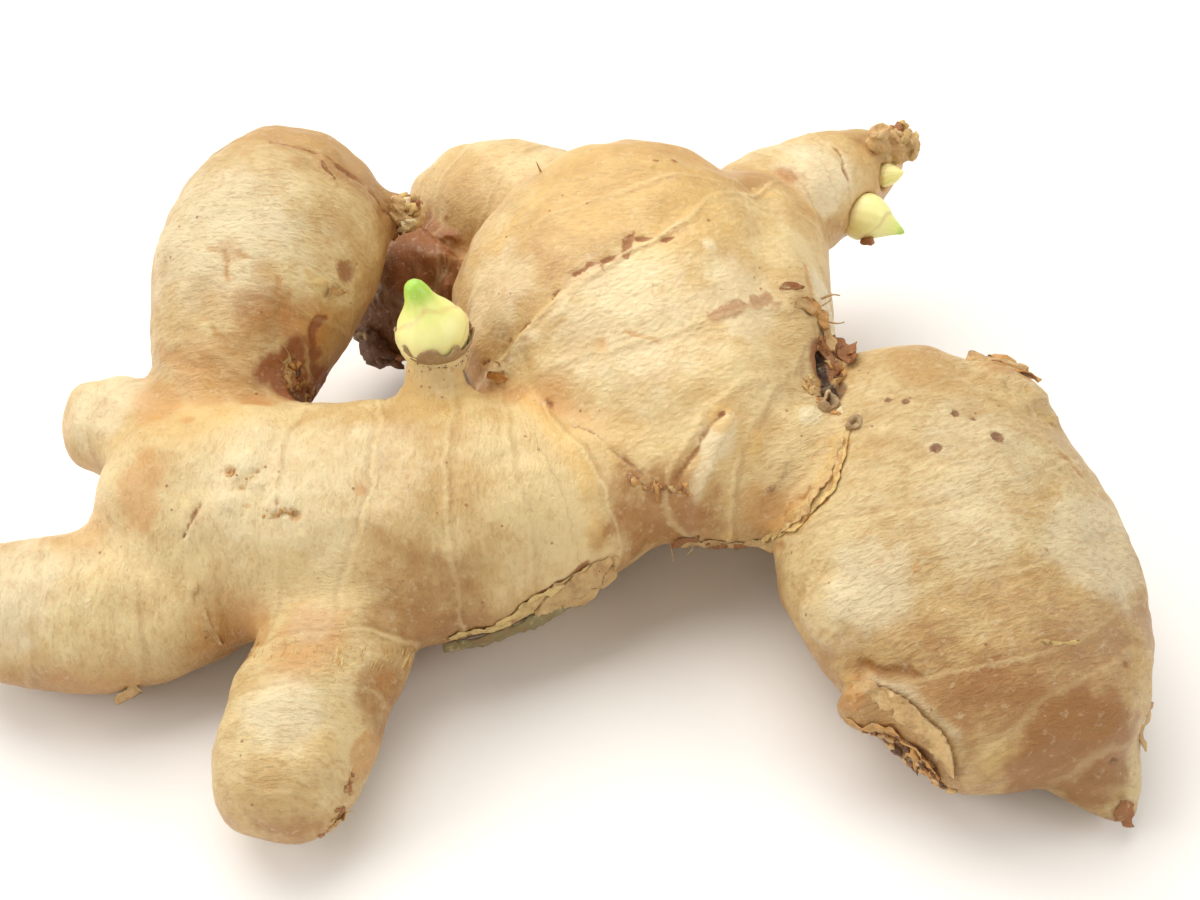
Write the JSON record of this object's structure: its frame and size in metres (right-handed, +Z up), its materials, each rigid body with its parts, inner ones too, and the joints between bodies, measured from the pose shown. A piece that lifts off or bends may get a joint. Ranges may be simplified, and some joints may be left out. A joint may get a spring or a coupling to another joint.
{
  "type": "ginger root",
  "caption": "Fresh ginger rhizome with thick branching lobes, blunt fingers and young green shoot buds, lying on its underside.",
  "frame": {"origin": "middle of the underside of the object's box, on the surface that it rests on", "axes": "+Z up; +X along the longest side, towards the big cut lobe; +Y towards the rear lobes, away from the two front fingers"},
  "size_m": [0.1774, 0.138, 0.0571],
  "materials": {
    "ginger_skin": "thin tan corky skin with a satin sheen, fine wrinkles and faint ring scars",
    "young_shoot": "smooth moist sheath, cream to yellow, green at the tip"
  },
  "bodies": {
    "root": {"rhizome": "ginger_skin", "shoot_bud_front": "young_shoot", "shoot_bud_rear": "young_shoot", "shoot_bud_small": "young_shoot"}
  },
  "joints": []
}
